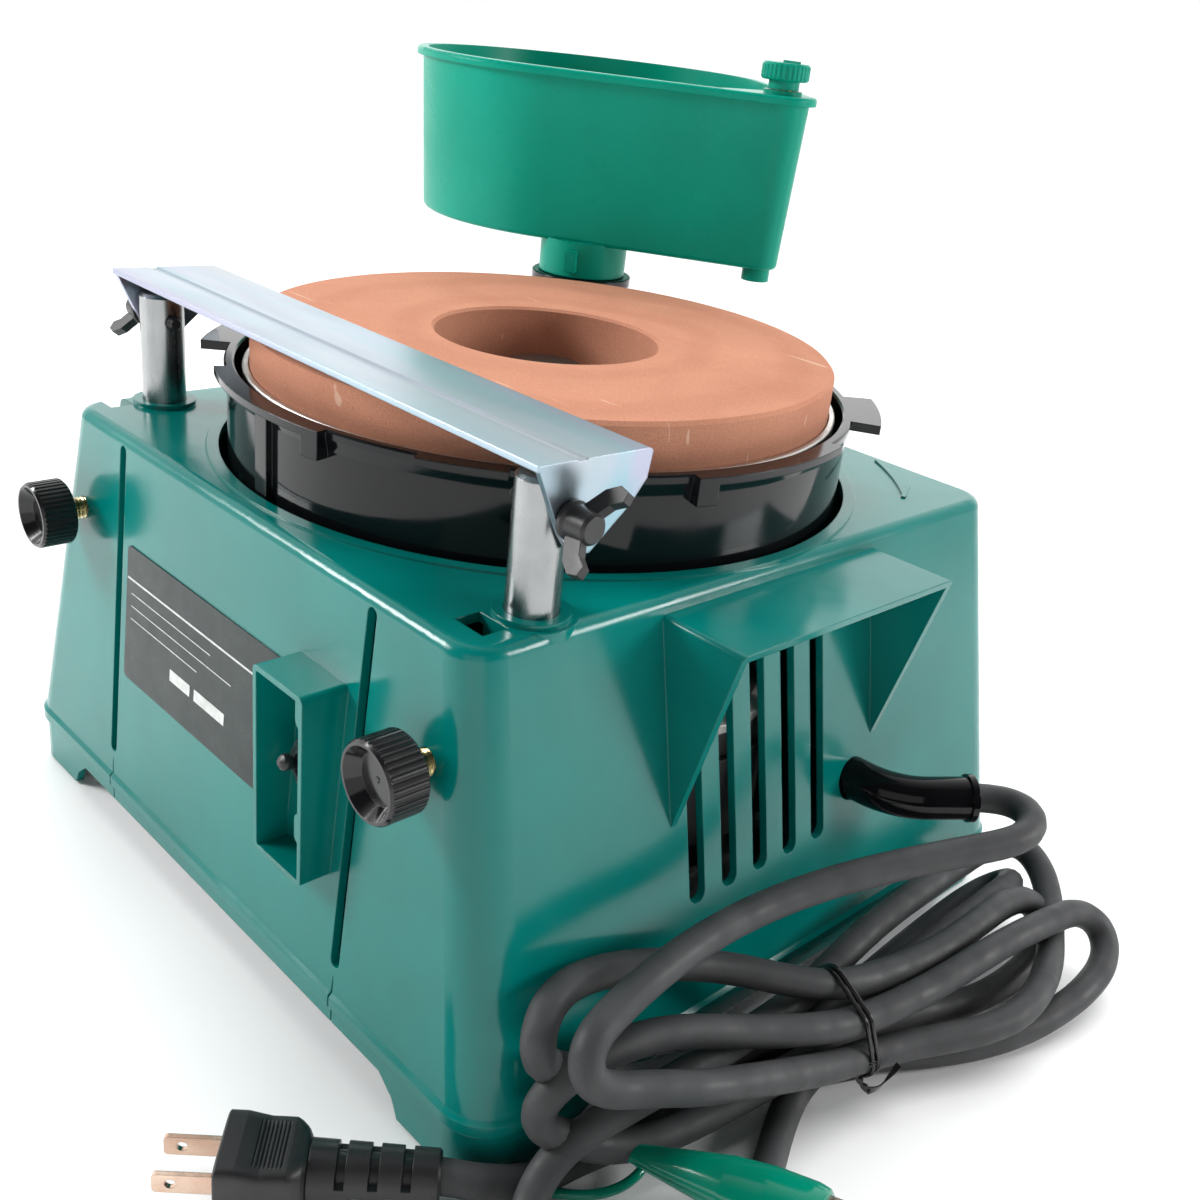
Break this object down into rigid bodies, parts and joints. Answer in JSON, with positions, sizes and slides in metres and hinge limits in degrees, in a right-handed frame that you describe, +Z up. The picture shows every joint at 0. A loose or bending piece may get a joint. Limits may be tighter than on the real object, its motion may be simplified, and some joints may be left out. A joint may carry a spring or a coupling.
{
  "type": "wet grinding sharpener",
  "caption": "Bench sharpener with a horizontal water stone, clamped tool rest, swivelling drip tank and a bundled mains lead.",
  "frame": {"origin": "on the floor under the stone's axis, the middle of the four foot holes", "axes": "+Z up along the spindle, +X to the right along the switch side, +Y to the back, away from the switch"},
  "size_m": [0.4774, 0.4346, 0.2952],
  "materials": {
    "casing_green": "glossy moulded plastic",
    "tank_green": "glossy moulded plastic",
    "bowl_black": "glossy moulded plastic",
    "black_plastic": "satin moulded plastic",
    "black_gloss": "polished moulded plastic",
    "stone": null,
    "pale_metal": "turned casting",
    "polished_steel": "polished plating",
    "zinc_steel": "bright passivated zinc",
    "yellow_zinc": "yellow passivated zinc",
    "steel": "plain steel",
    "cast_grey": "painted casting",
    "motor_black": "black enamel",
    "brass": "turned brass",
    "rubber": "moulded rubber",
    "cord_rubber": "matt cord sheath",
    "sleeve_black": "glossy soft vinyl",
    "label": "printed plate",
    "earth_green": "glossy vinyl insulation",
    "blade_metal": "nickel plated, worn"
  },
  "bodies": {
    "base": {"casing": "casing_green", "base_plate": "steel", "rubber_feet": "rubber", "base_screws": "steel", "standoffs": "steel", "chassis_plate": "steel", "bearing_housing": "cast_grey", "housing_bolts": "steel", "lower_bearing": "steel", "upper_bearing": "steel", "drive_belt": "rubber", "motor_housing": "motor_black", "motor_end_cap": "pale_metal", "motor_screws": "steel", "capacitor": "black_plastic", "capacitor_clamp": "steel", "bowl": "bowl_black", "bowl_collar": "bowl_black", "bowl_screws": "steel", "tank_pillar": "bowl_black", "pillar_screw": "steel", "switch_body": "black_plastic", "switch_nut": "polished_steel", "nameplate": "label", "cord_sleeve": "sleeve_black", "cord_lead": "cord_rubber", "cord_hank": "cord_rubber", "cord_loop": "cord_rubber", "cord_tail": "cord_rubber", "hank_tie": "black_gloss", "plug_body": "black_plastic", "plug_relief": "black_plastic", "plug_blades": "blade_metal", "earth_wire": "earth_green", "earth_clip": "earth_green", "clip_jaws": "blade_metal"},
    "wheel": {"spindle": "steel", "big_pulley": "pale_metal", "wheel_hub": "pale_metal", "wheel_disc": "pale_metal", "grindstone": "stone", "clamp_washer": "steel", "wheel_nut": "black_gloss"},
    "rotor": {"motor_rotor": "steel", "small_pulley": "pale_metal"},
    "rest_carrier": {"rest_posts": "polished_steel"},
    "rest_plate": {"rest_plate": "zinc_steel"},
    "wing_right": {"wing_bolt_right": "black_plastic"},
    "wing_left": {"wing_bolt_left": "black_plastic"},
    "knob_right": {"clamp_knob_right": "black_gloss", "clamp_stud_right": "yellow_zinc"},
    "knob_left": {"clamp_knob_left": "black_gloss", "clamp_stud_left": "yellow_zinc"},
    "tank": {"tank": "tank_green"},
    "valve": {"valve_knob": "tank_green", "valve_needle": "brass"},
    "toggle": {"toggle_lever": "black_plastic"}
  },
  "joints": [
    {"name": "wheel_spin", "type": "hinge", "parent": "base", "child": "wheel", "pos_m": [0, 0, 0.1], "axis": [0, 0, 1], "continuous": true},
    {"name": "rotor_spin", "type": "hinge", "parent": "base", "child": "rotor", "pos_m": [0.078, -0.012, 0.07], "axis": [0, 0, 1], "continuous": true},
    {"name": "rest_height", "type": "slide", "parent": "base", "child": "rest_carrier", "axis": [0, 0, 1], "range_m": [0, 0.04]},
    {"name": "rest_tilt", "type": "hinge", "parent": "rest_carrier", "child": "rest_plate", "pos_m": [0, -0.093, 0.1882], "axis": [1, 0, 0], "range_deg": [0, 21]},
    {"name": "wing_right_turn", "type": "hinge", "parent": "rest_carrier", "child": "wing_right", "pos_m": [0.125, -0.093, 0.1882], "axis": [1, 0, 0], "range_deg": [-180, 180]},
    {"name": "wing_left_turn", "type": "hinge", "parent": "rest_carrier", "child": "wing_left", "pos_m": [-0.125, -0.093, 0.1882], "axis": [1, 0, 0], "range_deg": [-180, 180]},
    {"name": "knob_right_turn", "type": "hinge", "parent": "base", "child": "knob_right", "pos_m": [0.1056, -0.14, 0.1205], "axis": [0, 1, 0], "range_deg": [-180, 180]},
    {"name": "knob_left_turn", "type": "hinge", "parent": "base", "child": "knob_left", "pos_m": [-0.1056, -0.14, 0.1205], "axis": [0, 1, 0], "range_deg": [-180, 180]},
    {"name": "tank_swivel", "type": "hinge", "parent": "base", "child": "tank", "pos_m": [-0.097, 0.106, 0.2], "axis": [0, 0, 1], "range_deg": [-100, 60]},
    {"name": "valve_turn", "type": "hinge", "parent": "tank", "child": "valve", "pos_m": [-0.027, 0.144, 0.29], "axis": [0, 0, 1], "range_deg": [0, 270]},
    {"name": "toggle_flip", "type": "hinge", "parent": "base", "child": "toggle", "pos_m": [0.0547, -0.1306, 0.094], "axis": [1, 0, 0], "range_deg": [0, 58]}
  ],
  "couplings": [
    {"joint": "rotor_spin", "follows": "wheel_spin", "ratio": 3.0556}
  ]
}
